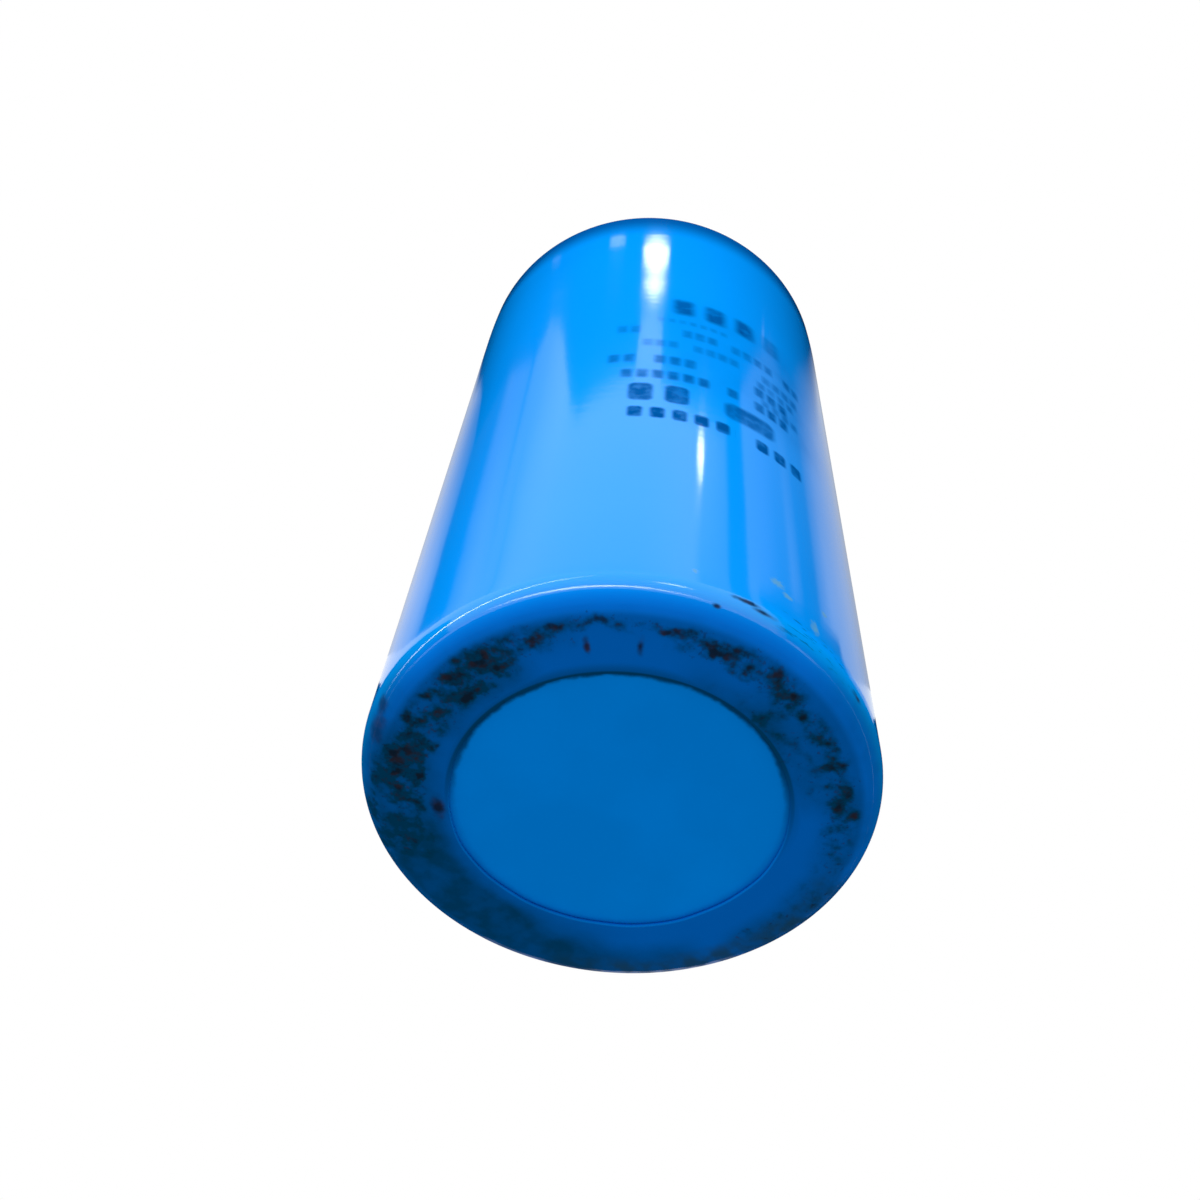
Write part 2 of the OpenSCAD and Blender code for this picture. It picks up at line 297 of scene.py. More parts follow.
@dataclass(frozen=True)
class PrintLine:
    """One line of plain ink blocks.

    Attributes:
        z: Height of the line's middle above the base, in mm.
        left: Arc from the middle of the printed side to the line's left end, in mm.
        height: Height of a block, in mm.
        width: Width of a block, in mm.
        pitch: Distance between two blocks, in mm.
        blur: Width of a block's soft edge, in mm.
        words: The runs of blocks on the line, which start at whole pitches.
        ink: How dense the ink is, from 0 to 1.
    """

    z: float
    left: float
    height: float
    width: float
    pitch: float
    blur: float
    words: tuple[Word, ...]
    ink: float

    def cover(self, along: Signal, up: Signal) -> Signal:
        """Where the line is inked.

        Args:
            along: Arc from the middle of the printed side, in mm.
            up: Height above the base, in mm.

        Returns:
            The ink's density.
        """
        corner = 0.3 * min(self.width, self.height)
        half_gap = (self.pitch - self.width) / 2
        step = (along - (self.left - half_gap)).math("PINGPONG", self.pitch / 2)
        wide = (half_gap + corner - step).most(0.0)
        tall = (abs(up - self.z) - (self.height / 2 - corner)).most(0.0)
        inside: Value = 0.0
        for word in self.words:
            start = self.left + word.start - half_gap
            inside = inside + along.band(start, start + word.count * self.pitch, 0.02)
        return length(wide, tall).fall(corner - self.blur, corner + self.blur) * inside * self.ink


@dataclass(frozen=True)
class Sector:
    """A stretch of the base ring that is soiled.

    Attributes:
        middle: Its middle, in degrees from HEADING, counter-clockwise as seen from above.
        half: Half of its width, in degrees.
        inner: Radius at which it starts, in mm.
        outer: Radius at which it ends, in mm.
        dirt: Density of its clumps.
        film: Density of its thin dark film.
    """

    middle: float
    half: float
    inner: float
    outer: float
    dirt: float
    film: float

    def reach(self, turn: Signal) -> Signal:
        """1 inside the sector, with ends that are soft over half of its width."""
        near, far = (math.cos(math.radians(self.half * share)) for share in (0.5, 1.5))
        return turn.facing(self.middle).rise(far, near)


@dataclass(frozen=True)
class Spot:
    """One larger mark.

    Attributes:
        turn: Degrees from HEADING.
        radius: Distance from the axis, in mm.
        z: Height, in mm.
        along: Half of its length round the axis, in mm.
        across: Half of its width across that, in mm.
        cover: How much of the film it hides.
    """

    turn: float
    radius: float
    z: float
    along: float
    across: float
    cover: float = 1.0


@dataclass(frozen=True)
class Soil:
    """The film's dirt from where it stood, and painted shade and light on its corner and opening.

    Attributes:
        sectors: The soiled stretches of the base ring.
        spots: Larger dark marks.
        stains: Pale marks low on the side.
        contact: Inner and outer radius of the ring that the part stood on, in mm.
        scuffed, corner, lit: Colour of that ring, painted shade on the film's lower corner, painted light
            above it.
        clump, rust, stain, film, dust: Colours of the dirt; film also colours painted shadow and crease
            shade.
        bright: Painted light on the rounded edge of the opening on the far side.
    """

    sectors: tuple[Sector, ...]
    spots: tuple[Spot, ...]
    stains: tuple[Spot, ...]
    contact: tuple[float, float] = (15.0, 22.9)
    scuffed: Colour = (0.0, 0.125, 0.53)
    # corner is painted shade on the film's lower corner, and lit is painted light on the band above it.
    corner: Colour = (0.0, 0.125, 0.83)
    lit: Colour = (0.0, 0.31, 0.86)
    clump: Colour = (0.007, 0.008, 0.013)
    rust: Colour = (0.024, 0.012, 0.013)
    stain: Colour = (0.16, 0.34, 0.28)
    film: Colour = (0.0, 0.038, 0.085)
    dust: Colour = (0.009, 0.055, 0.125)
    # Painted light for the far side of the opening's edge.
    bright: Colour = (0.0, 0.28, 0.9)

    def ring_cover(self, turn: Signal, ragged: Signal, calm: Signal,
                   near_side: Signal) -> tuple[Signal, Signal]:
        """How dense the dirt and the dark film are on the base ring.

        Args:
            turn: Angle from HEADING, in radians.
            ragged: Radius in mm, with noise on it that frays the dirt.
            calm: The same with less noise, for the film.
            near_side: 1 on the camera's side, which has a little dirt all along.

        Returns:
            Density of the dirt and of the film.
        """
        dirt = ragged.band(16.0, 22.6, 0.6) * near_side * 0.12
        film: Value = 0.0
        for sector in self.sectors:
            here = sector.reach(turn)
            dirt = dirt + here * ragged.band(sector.inner, sector.outer, 0.8) * sector.dirt
            film = film + here * calm.band(sector.inner, sector.outer + 0.2, 1.6) * sector.film
        return dirt.least(1.0), film.least(0.85)

    def spot_cover(self, spots: Sequence[Spot], turn: Signal, radius: Signal, z: Signal,
                   ragged: Signal) -> Signal:
        """Where larger marks lie.

        Args:
            spots: The marks.
            turn: Angle from HEADING, in radians.
            radius: Distance from the axis, in mm.
            z: Height, in mm.
            ragged: Noise that breaks their outlines.

        Returns:
            Their density.
        """
        total: Value = 0.0
        for spot in spots:
            along = (turn - math.radians(spot.turn)) * (spot.radius / spot.along)
            across = (radius - spot.radius) * (1 / spot.across)
            rise = (z - spot.z) * (1 / spot.across)
            away = length(along, across, rise) + (ragged - 0.5) * 2.0
            total = (away.fall(0.2, 1.5) * spot.cover).most(total)
        return total


@dataclass(frozen=True)
class ShrunkFilm:
    """Glossy blue film, with its print, the dirt under the base, and painted shade and light. Sizes are in
    millimetres.

    Attributes:
        outer_r: Radius of the film's outer wall.
        opening_r: Radius of its opening under the base, whose middle is opening_centre.
        gathered: Heights between which painted shade darkens its colour to rim, the colour at the top.
        gloss_rough: Roughness where the film is clean.
        dull_rough: Roughness of ink, dirt and rubbed places.
    """

    body: Colour
    ink: Colour
    lines: tuple[PrintLine, ...]
    soil: Soil
    outer_r: float
    opening_r: float
    opening_centre: tuple[float, float]
    # Painted shade: between these heights the colour darkens to rim towards the top.
    gathered: tuple[float, float] = (87.8, 95.3)
    rim: Colour = (0.0, 0.062, 0.27)
    gloss_rough: float = 0.06
    dull_rough: float = 0.8
    ripple_mm: float = 0.004
    crust_mm: float = 0.03

    def ink_cover(self, shader: Shader, along: Signal, z: Signal) -> Signal:
        """Density of the print: worn blocks over a smudge.

        Args:
            shader: The film's shader.
            along: Arc from the middle of the printed side, in mm.
            z: Height, in mm.

        Returns:
            The density.
        """
        total: Value = 0.0
        for line in self.lines:
            total = line.cover(along, z) + total
        worn = shader.noise(0.7, 2.0, shift=7.0).rise(0.30, 0.60)
        smudge = z.band(41.0, 64.0, 4.0) * along.band(-7.0, 12.0, 4.0) * shader.noise(0.25, 3.0, shift=41.0)
        return (total * (0.75 + 0.25 * worn) + smudge * (0.22 + 0.3 * along.rise(0.0, 9.0))).least(1.0)

    def material(self) -> bpy.types.Material:
        """Builds the film's material: glossy where it is clean, and dull under ink, dirt and rubbing.

        Returns:
            The material.
        """
        soil = self.soil
        shader = Shader.of("shrunk_film")
        x, y, z = shader.axes()
        radius = length(x, y)
        heading = x.math("ARCTAN2", -y)
        turn = heading - math.radians(HEADING)
        near_side = turn.facing(0.0).rise(-0.5, 0.6)
        lump = shader.noise(0.65, 3.5, shift=11.0)
        fine = shader.noise(2.4, 3.0, shift=23.0)
        broad = shader.noise(0.3, 3.0, shift=31.0) - 0.5
        patch = shader.noise(0.45, 4.0, shift=37.0).rise(0.34, 0.66)
        cloud = shader.noise(0.035, 2.0, shift=3.0).rise(0.3, 0.7)

        # Dirt on the base ring: clumps and specks with a halo round them, and larger marks.
        calm = radius + broad * 1.2
        dirt, film = soil.ring_cover(turn, radius + broad * 2.2 + (lump - 0.5) * 0.8, calm, near_side)
        dirt = dirt * z.fall(1.2, 2.8)
        heavy = lump + dirt * 0.22
        here = dirt.rise(0.05, 0.3)
        clumps = heavy.rise(0.69, 0.85) * here
        specks = (fine + dirt * 0.16).rise(0.66, 0.80) * here
        halo = heavy.rise(0.50, 0.80) * dirt.rise(0.05, 0.6) * 0.6
        spots = soil.spot_cover(soil.spots, turn, radius, z, lump)
        cover = (clumps * 0.8).most(specks * 0.4, spots * 0.9)
        grime = shader.mix(shader.noise(0.9, 2.0, shift=5.0).rise(0.42, 0.66), soil.clump, soil.rust)

        # The edge of the opening: grime and painted shadow on the near side, painted light on the far one.
        inward = length(x - self.opening_centre[0], y - self.opening_centre[1]) - self.opening_r
        on_edge = inward.fall(0.8, 1.1)
        edge = z.rise(0.02, 0.15) * on_edge
        # Painted light on the far side of the opening's rounded edge.
        bright = z.rise(0.01, 0.12) * on_edge * (1.0 - near_side)
        # Grime and painted shadow along the near side of the opening's edge.
        lip = (edge * 0.9).most(inward.fall(0.25, 0.65) * 0.9, inward.fall(0.4, 1.5) * 0.45) * near_side

        # The dark film, the dusty veil, painted shade in the creases, and the rubbing and stains low on the
        # side.
        crease_shade = shader.noise(2.0, 2.0, stretch=(0.3, 0.3, 2.2), shift=19.0).rise(0.60, 0.70)
        crease_shade = crease_shade * z.band(1.9, 4.8, 0.6) * turn.band(math.radians(30), math.radians(58), 0.08)
        rubbed = (z + broad * 5.0).band(1.6, 4.6, 0.8) * turn.band(math.radians(27), math.radians(64), 0.12)
        stains = soil.spot_cover(soil.stains, turn, radius, z, fine) * 0.5
        # Dirt film and halos, with the lip's grime and painted shadow and the painted crease shade.
        smear_and_shade = film * (0.84 + 0.2 * patch) * z.fall(1.6, 3.2) + halo
        smear_and_shade = smear_and_shade.most(lip, crease_shade * 0.6).least(0.95)
        veil = calm.band(21.0, 24.8, 1.0) * turn.facing(150.0).rise(0.6, 0.95) * (0.3 + 0.6 * patch)

        ink = self.ink_cover(shader, heading * self.outer_r, z)
        flat = radius.band(*soil.contact, 0.4) * z.fall(0.5, 1.0) * 0.95
        # Colour: random tone, painted shade to rim near the top, print, painted shade and light on the
        # corner, the scuffed ring, painted light on the opening's far edge, stains, dirt film with painted
        # shadow, dust and dirt.
        colour = shader.coats(
            self.body, (cloud * 0.4, shade(self.body, 0.9)), (z.rise(*self.gathered) * 0.85, self.rim),
            (ink, self.ink), (z.fall(0.4, 2.3) * 0.5, soil.corner),
            (z.band(1.8, 3.4, 0.5) * 0.55, soil.lit), (flat, soil.scuffed), (bright * 0.85, soil.bright),
            (stains, soil.stain), (smear_and_shade, soil.film), (veil, soil.dust), (cover, grime))

        skin = shader.noise(1.6, 2.0, stretch=(1.0, 1.0, 0.8))
        ripple = shader.noise(0.9, 1.0, stretch=(0.25, 0.25, 1.0), shift=2.0)
        normal = shader.bump(skin * 0.4 + ripple * 0.6, self.ripple_mm)
        rough = self.gloss_rough + 0.03 * shader.noise(0.12, 2.0, shift=9.0)
        glossy = shader.surface(Base_Color=colour, Roughness=rough, Normal=normal, IOR=1.5)
        crusted = shader.bump(cover, self.crust_mm, normal)
        dull = shader.surface(
            Base_Color=colour, Roughness=self.dull_rough, Normal=crusted, Specular_IOR_Level=0.0)
        worn = (ink * 1.15).most(cover * 1.2, smear_and_shade * 1.1, edge, flat, stains, rubbed * 0.75, veil)
        return shader.done(shader.blend(worn.least(1.0), glossy, dull))


@dataclass(frozen=True)
class SatinSheet:
    """Satin blue sheet of the base disc, with grime and painted shadow along the edge of the opening that
    shows it.
    """

    body: Colour
    edge_r: float
    edge_centre: tuple[float, float]
    grime: Colour = (0.0, 0.02, 0.04)
    rough: float = 0.6
    relief_mm: float = 0.006

    def material(self) -> bpy.types.Material:
        """Builds the disc's material.

        Returns:
            The material.
        """
        shader = Shader.of("disc_film")
        x, y, _ = shader.axes()
        near_side = x.math("ARCTAN2", -y).facing(HEADING).rise(-0.2, 0.6)
        cloud = shader.noise(0.09, 3.0, shift=4.0).rise(0.35, 0.65)
        fine = shader.noise(3.0, 2.0, shift=8.0)
        ragged = (shader.noise(0.7, 3.0, shift=6.0) - 0.5) * 0.7
        radius = length(x - self.edge_centre[0], y - self.edge_centre[1])
        rim = (radius + ragged).rise(self.edge_r - 0.75, self.edge_r - 0.2)
        # grime darkens the opening's edge as grime and painted shadow, mostly on the near side.
        colour = shader.coats(
            self.body, (cloud * 0.4 + fine * 0.2, shade(self.body, 0.85)),
            (rim * near_side * 0.75 + rim * 0.08, self.grime))
        normal = shader.bump(fine, self.relief_mm)
        return shader.done(shader.surface(
            Base_Color=colour, Roughness=self.rough + fine * 0.1, Normal=normal, Specular_IOR_Level=0.0))


@dataclass(frozen=True)
class Metal:
    """Bare or plated metal with fine marks along its grain.

    Attributes:
        name: Name of the material.
        body: Its colour.
        dull: Colour of its oxidised patches.
        rough: Roughness of the bright metal.
        grain: Which way the marks run.
        relief_mm: Depth of the marks.
    """

    name: str
    body: Colour
    dull: Colour
    rough: float
    grain: Grain = Grain.ROUND
    relief_mm: float = 0.006

    def material(self) -> bpy.types.Material:
        """Builds the metal's material.

        Returns:
            The material.
        """
        shader = Shader.of(self.name)
        marks = shader.noise(6.0, 3.0, stretch=self.grain.value)
        patch = shader.noise(0.45, 3.0, shift=12.0).rise(0.42, 0.68)
        colour = shader.mix(patch * 0.7, self.body, self.dull)
        rough = self.rough + 0.16 * patch + 0.12 * marks
        normal = shader.bump(marks, self.relief_mm)
        return shader.done(shader.surface(Base_Color=colour, Metallic=1.0, Roughness=rough, Normal=normal))


@dataclass(frozen=True)
class Moulding:
    """Moulded or pressed stuff: phenolic, rubber, fibre, paper or tape.

    Attributes:
        name: Name of the material.
        body: Its colour.
        fleck: Colour of its flecks or fibres.
        rough: Its roughness.
        per_mm: Flecks to a millimetre.
        relief_mm: Depth of its texture.
        stretch: How dense the flecks are along each axis.
        share: How much of the surface the flecks take, from 0 to 1.
    """

    name: str
    body: Colour
    fleck: Colour
    rough: float
    per_mm: float
    relief_mm: float
    stretch: Sequence[float] = (1.0, 1.0, 1.0)
    share: float = 0.5

    def material(self) -> bpy.types.Material:
        """Builds the material.

        Returns:
            The material.
        """
        shader = Shader.of(self.name)
        fibre = shader.noise(self.per_mm, 4.0, stretch=self.stretch)
        flecks = fibre.rise(0.75 - 0.4 * self.share, 0.85 - 0.3 * self.share)
        cloud = shader.noise(0.15, 2.0, shift=17.0).rise(0.4, 0.7)
        colour = shader.coats(self.body, (flecks, self.fleck), (cloud * 0.35, shade(self.body, 0.6)))
        rough = self.rough + 0.12 * fibre
        normal = shader.bump(fibre, self.relief_mm)
        return shader.done(shader.surface(Base_Color=colour, Roughness=rough, Normal=normal))


# Surfaces


def columns_at(count: int) -> np.ndarray:
    """Angles of that many even columns round a turn, in radians."""
    return np.arange(count) * FULL_TURN / count


def pairs(r: Numbers, z: Numbers) -> np.ndarray:
    """An outline's (r, z) points, from their radii and heights."""
    return np.stack(np.broadcast_arrays(r, z), axis=1)


def arc(centre: Sequence[float], radius: float, start: float, stop: float, count: int) -> np.ndarray:
    """Points centre + radius * (cos a, sin a) of a circle, at count even angles a from start to stop."""
    a = np.radians(np.linspace(start, stop, count))
    return pairs(centre[0] + radius * np.cos(a), centre[1] + radius * np.sin(a))


def rounded(corners: Sequence[Sequence[float]], radius: float, steps: int = 6) -> np.ndarray:
    """Rounds the inner corners of an open outline.

    Each corner gives way to points on the quadratic curve (1-t)^2 a + 2t(1-t) c + t^2 b, where c is the
    corner and a and b lie radius away from it, or half of a shorter side.

    Args:
        corners: The outline's corners as (r, z) pairs. The two ends stay as they are.
        radius: How far from a corner its curve starts.
        steps: Points on each curve.

    Returns:
        The rounded outline.
    """
    p = np.asarray(corners, float)
    corner = p[1:-1]
    ends = []
    for beside in (p[:-2], p[2:]):
        side = beside - corner
        side_l = np.linalg.norm(side, axis=1, keepdims=True)
        ends.append(corner + side / side_l * np.minimum(radius, side_l / 2))
    t = np.linspace(0.0, 1.0, steps)[None, :, None]
    curve = (1 - t) ** 2 * ends[0][:, None] + 2 * t * (1 - t) * corner[:, None] + t ** 2 * ends[1][:, None]
    return np.concatenate([p[:1], curve.reshape(-1, 2), p[-1:]])


def turned(r: np.ndarray, z: np.ndarray, columns: int, centre: Sequence[float] = (0.0, 0.0)) -> np.ndarray:
    """Turns profile rows about an upright axis: x = cx + r cos t, y = cy + r sin t.

    Args:
        r: Radii, one to a row, or one to a row and column.
        z: Heights, likewise.
        columns: Number of columns round the axis.
        centre: Where the axis stands.

    Returns:
        Points of shape (rows, columns, 3), in millimetres.
    """
    t = columns_at(columns)
    r, z = (np.broadcast_to(v if v.ndim == 2 else v[:, None], (len(v), columns)) for v in (r, z))
    return np.stack([centre[0] + r * np.cos(t), centre[1] + r * np.sin(t), z], axis=2)


def waves(t: np.ndarray, parts: Waves) -> np.ndarray:
    """A ripple round a turn: the sum of size * sin(count * t + phase) over (count, size, phase) parts."""
    return sum(size * np.sin(count * t + phase) for count, size, phase in parts)


def grid_mesh(name: str, grid: np.ndarray, rows_close: bool, columns_close: bool) -> bpy.types.Mesh:
    """Makes a mesh of a grid of points.

    Args:
        name: Name of the mesh.
        grid: Points of shape (rows, columns, 3), in metres.
        rows_close: True joins the last row to the first.
        columns_close: True joins the last column to the first.

    Returns:
        The mesh.
    """
    rows, columns = grid.shape[:2]
    down, across = rows - (not rows_close), columns - (not columns_close)
    i, j = np.meshgrid(np.arange(down), np.arange(across), indexing="ij")
    below, above, right = i * columns, (i + 1) % rows * columns, (j + 1) % columns
    quads = np.stack([below + j, below + right, above + right, above + j], axis=2)
    mesh = bpy.data.meshes.new(name)
    mesh.from_pydata(grid.reshape(-1, 3).tolist(), [], quads.reshape(-1, 4).tolist())
    return mesh


def settle(mesh: bpy.types.Mesh, sharp: float) -> None:
    """Merges a mesh's doubles, points its faces outwards and shades it smooth.

    Args:
        mesh: The mesh.
        sharp: Edges that turn more than this many degrees stay sharp.
    """
    work = bmesh.new()
    work.from_mesh(mesh)
    bmesh.ops.remove_doubles(work, verts=work.verts, dist=1e-7)
    bmesh.ops.recalc_face_normals(work, faces=work.faces)
    work.to_mesh(mesh)
    work.free()
    mesh.polygons.foreach_set("use_smooth", np.ones(len(mesh.polygons), bool))
    mesh.set_sharp_from_angle(angle=math.radians(sharp))
    mesh.update()


def add_object(name: str, data: bpy.types.ID) -> bpy.types.Object:
    """Puts a new object with that data into the scene.

    Args:
        name: Name of the object.
        data: Its mesh, lamp or camera.

    Returns:
        The object, at the origin.
    """
    made = bpy.data.objects.new(name, data)
    bpy.context.scene.collection.objects.link(made)
    return made


def shell(name: str, grid: np.ndarray, rows_close: bool, sharp: float = 35.0) -> bpy.types.Object:
    """Makes a closed, smooth piece of a grid of points, whose columns go all the way round.

    Args:
        name: Name of the piece.
        grid: Points of shape (rows, columns, 3), in millimetres.
        rows_close: True joins the last row to the first. Otherwise both end rows are poles.
        sharp: Edges that turn more than this many degrees stay sharp.

    Returns:
        The piece.
    """
    mesh = grid_mesh(name, grid * MM, rows_close, True)
    settle(mesh, sharp)
    return add_object(name, mesh)


# Sub-assemblies


def node_span(node: str) -> tuple[Vector, Vector]:
    """Lowest and highest corner of a CAD node, in millimetres."""
    low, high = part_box(node)
    return low / MM, high / MM


def node_disc(node: str) -> tuple[tuple[float, float], float]:
    """Middle and radius of a round CAD node as seen from above, in millimetres."""
    low, high = node_span(node)
    return ((low.x + high.x) / 2, (low.y + high.y) / 2), (high.x - low.x) / 2


@dataclass
class Piece:
    """Dresses new pieces and carried-over nodes of one sub-assembly."""

    made: list[str] = field(default_factory=list)

    def dress(self, piece: bpy.types.Object, material: bpy.types.Material, slot: str, node: str) -> None:
        """Gives a new piece its material and body, and lets it stand for a CAD node.

        Args:
            piece: The piece.
            material: Its material.
            slot: Not used.
            node: The CAD node that it replaces.
        """
        piece.data.materials.clear()
        piece.data.materials.append(material)
        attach(piece, "root")
        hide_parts(node)
        self.made.append(piece.name)
        LOG.info("%s stands for %s", piece.name, node)

    def dress_node(self, node: str, material: bpy.types.Material) -> None:
        """Gives a CAD node, whose shape stays, its material.

        Args:
            node: The node's name.
            material: Its material.
        """
        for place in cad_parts[node].material_slots:
            place.material = material
        self.made.append(node)
        LOG.info("%s keeps its shape", node)

    def refined(self, node: str, name: str, edge_mm: float = 0.0) -> bpy.types.Object:
        """A merged, smooth copy of a CAD node with its edges eased.

        Args:
            node: The node's name.
            name: The copy's name.
            edge_mm: Width of the eased edges, or 0 for none.

        Returns:
            The copy.
        """
        copy = add_object(name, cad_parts[node].data.copy())
        settle(copy.data, 30.0)
        if edge_mm > 0:
            ease = copy.modifiers.new("eased_edges", "BEVEL")
            ease.width = edge_mm * MM
            ease.segments = 2
            ease.limit_method = "ANGLE"
            ease.angle_limit = math.radians(35.0)
            ease.harden_normals = True
        return copy


@dataclass
class Jacket(Piece):
    """The shrunk film round the can and the disc that it holds under the base.

    Sizes are in millimetres. The film draws in by drawn_in from drawn_in_from below the can's top, and ends
    top_lip_angle degrees round the rolled rim. The four Waves ripple that end, the opening's edge, the ring
    under the base and the sides.
    """

    columns: int = 320
    lip_opening_r: float = 16.1
    opening_centre: tuple[float, float] = (-0.11, -0.26)
    corner_flat_r: float = 21.9
    wall_gap: float = 0.03
    drawn_in_from: float = 9.2
    drawn_in: float = 0.15
    top_lip_angle: float = 150.0
    lip_reach: float = 1.8
    ring_rise: float = 0.03
    side_draw: float = 0.05
    top_wander: Waves = ((2, 4.0, 0.4), (5, 3.0, 1.9), (9, 2.0, 0.2), (17, 1.0, 2.2))
    lip_wander: Waves = ((1, 0.28, 3.54), (3, 0.08, 0.7), (5, 0.06, 2.9), (8, 0.04, 1.1), (19, 0.02, 0.3))
    pleats: Waves = ((31, 0.5, 0.0), (47, 0.3, 1.3), (73, 0.2, 2.1))
    bulges: Waves = ((2, 0.03, 0.5), (3, 0.02, 1.7))

    def measure(self) -> None:
        """Takes the film's sizes from the frame."""
        can_high = node_span("can")[1]
        disc_low, disc_high = node_span("base_disc")
        self.outer_r = node_span("sleeve")[1].x
        self.film_t = self.outer_r - can_high.x - self.wall_gap
        self.can_r = can_high.x
        self.can_z = disc_high.z
        self.lip_t = disc_low.z
        self.disc_r = disc_high.x
        self.rim_z = can_high.z - RIM_ROLL_R
        self.drawn_z = can_high.z - self.drawn_in_from

    def wall_r(self, z: np.ndarray) -> np.ndarray:
        """Radius of the film's outer wall: straight, then drawn in by a parabola over its last stretch."""
        share = np.clip(z - self.drawn_z, 0.0, None) / (self.rim_z - self.drawn_z)
        return self.outer_r - self.drawn_in * share ** 2

    def rippled(self, r: np.ndarray, z: np.ndarray, t: np.ndarray) -> tuple[np.ndarray, np.ndarray]:
        """Ripples the film.

        The opening's edge wanders by lip_wander, which dies out as exp(-(d / lip_reach)^2) with the distance
        d from it. The ring under the base rises by ring_rise (1 + pleats), and the sides draw in by
        side_draw + bulges. Both fade out towards the corners.

        Args:
            r: Radii of the film's points, in mm.
            z: Their heights.
            t: Angles of the columns, in radians.

        Returns:
            Radii and heights with the ripples on them.
        """
        fade_out = np.clip(1.0 - z / 6.0, 0.0, 1.0)
        on_lip = np.exp(-(((r - self.lip_opening_r) / self.lip_reach) ** 2)) * (z < 2 * self.lip_t)
        r = r + on_lip * waves(t, self.lip_wander)
        on_ring = np.clip((r - self.lip_opening_r - 0.6) / 3.0, 0.0, 1.0) * fade_out
        z = z + self.ring_rise * on_ring * (1.0 + waves(t, self.pleats)) * (r < self.corner_flat_r + 1.5)
        on_side = np.clip((z - 5.0) / 12.0, 0.0, 1.0) * np.clip((self.rim_z - 12.0 - z) / 12.0, 0.0, 1.0)
        return r - on_side * (self.side_draw + waves(t, self.bulges)), z

    def film(self) -> bpy.types.Object:
        """Builds the film as one closed shell.

        Rows follow the section from the lip under the base, round the corner, up the wall and over the
        rolled rim to an angle that wanders, then back along the inside. Columns go round the axis.

        Returns:
            The film.
        """
        t = columns_at(self.columns)
        half = self.lip_t / 2
        lip_r = self.lip_opening_r + half
        corner_h = self.can_z + self.can_r - self.corner_flat_r
        corner = np.radians(np.linspace(270.0, 360.0, 22))
        wall_z = np.concatenate([
            np.linspace(corner_h, self.drawn_z, 60)[1:], np.linspace(self.drawn_z, self.rim_z, 22)[1:-1]])
        outside = np.concatenate([
            arc((lip_r, half), half, 90.0, 270.0, 9),
            pairs(np.linspace(lip_r, self.corner_flat_r, 30)[1:-1], 0.0),
            pairs(self.corner_flat_r + (self.outer_r - self.corner_flat_r) * np.cos(corner),
                  corner_h * (1 + np.sin(corner))),
            pairs(self.wall_r(wall_z), wall_z)])
        disc_edge = self.disc_r + self.wall_gap
        inside = np.concatenate([
            pairs(self.outer_r - self.film_t, wall_z[::-4]),
            arc((self.corner_flat_r, corner_h), corner_h - self.can_z + self.wall_gap, 360.0, 270.0, 8),
            [[disc_edge, self.can_z - self.wall_gap], [disc_edge, self.lip_t]]])

        roll_r = self.can_r - RIM_ROLL_R
        skin_r = RIM_ROLL_R + self.wall_gap
        back_r = skin_r + self.film_t
        stop = self.top_lip_angle + waves(t, self.top_wander)
        over = np.radians(np.linspace(0.0, 1.0, 26)[:, None] * stop)
        back = np.radians(np.linspace(1.0, 0.0, 16)[:, None] * stop)
        rim_r = (roll_r + back_r * np.cos(over) - self.drawn_in * np.clip(np.cos(over), 0, 1),
                 roll_r + skin_r * np.cos(back))
        rim_z = (self.rim_z + back_r * np.sin(over), self.rim_z + skin_r * np.sin(back))
        ones = np.ones((1, self.columns))
        r, z = (np.concatenate([outside[:, [axis]] * ones, *rim, inside[:, [axis]] * ones])
                for axis, rim in enumerate((rim_r, rim_z)))
        return shell("shrunk_sleeve", turned(*self.rippled(r, z, t), self.columns), True, sharp=50.0)

    def disc(self) -> bpy.types.Object:
        """Builds the disc: a thin sheet whose face swells by a few hundredths of a millimetre.

        Returns:
            The disc.
        """
        rings = np.linspace(0.0, self.disc_r - 0.05, 40)
        swell = 0.02 * np.sin(rings / self.disc_r * 9.0) * (rings / self.disc_r)
        t = columns_at(self.columns // 2)
        face_z = self.lip_t + self.wall_gap + swell[:, None] * (1 + 0.5 * np.sin(2 * t + 0.8))
        z = np.concatenate([face_z, np.full((2, len(t)), self.can_z)])
        return shell("base_sheet", turned(np.concatenate([rings, [self.disc_r, 0.0]]), z, len(t)), False)

    def build(self) -> None:
        """Builds and dresses the film and the disc."""
        self.measure()
        film = ShrunkFilm(
            body=(0.0, 0.285, 0.93), ink=(0.0, 0.045, 0.20), lines=PRINT, soil=SOIL_AND_SHADE, outer_r=self.outer_r,
            opening_r=self.lip_opening_r, opening_centre=self.opening_centre)
        self.dress(self.film(), film.material(), "sleeve_film", "sleeve")
        sheet = SatinSheet((0.0, 0.24, 0.83), self.lip_opening_r, self.opening_centre)
        self.dress(self.disc(), sheet.material(), "disc_film", "base_disc")


